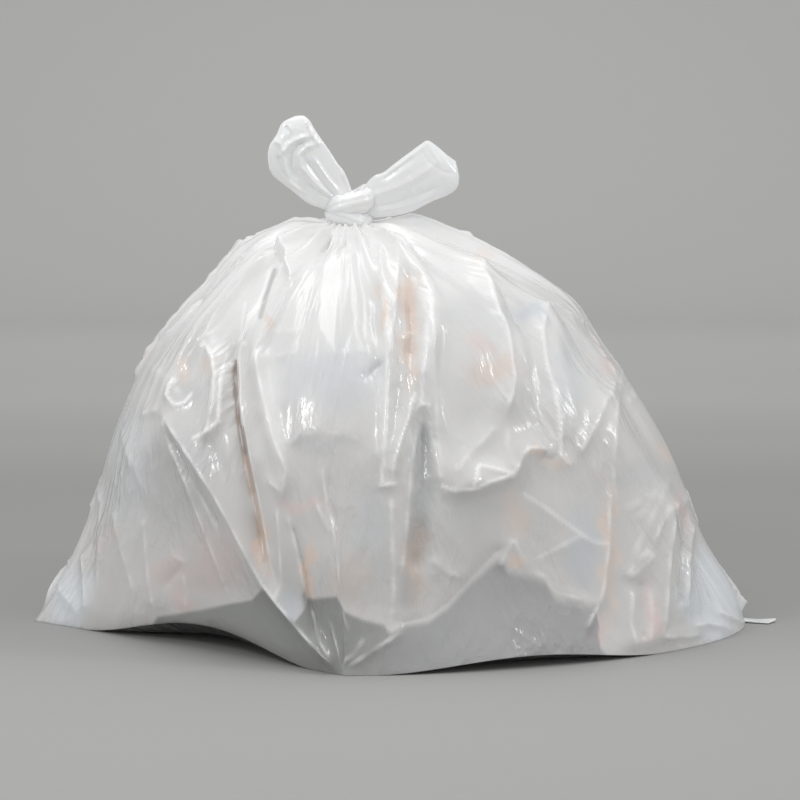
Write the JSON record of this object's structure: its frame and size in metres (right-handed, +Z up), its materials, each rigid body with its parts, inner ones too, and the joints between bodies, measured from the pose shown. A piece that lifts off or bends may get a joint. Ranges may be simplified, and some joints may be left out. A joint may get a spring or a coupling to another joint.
{
  "type": "tied bin bag",
  "caption": "Full white plastic bin bag standing on its base, its neck gathered and tied in a knot with two ears.",
  "frame": {"origin": "on the floor, under the middle of the bag's bounding box", "axes": "+Z up, +X from the left bottom corner to the right one as seen from the front, -Y towards the viewer of the front"},
  "size_m": [0.62, 0.3966, 0.4259],
  "materials": {
    "film": "milky, slightly glossy thin film"
  },
  "bodies": {
    "root": {"bag": "film"}
  },
  "joints": []
}
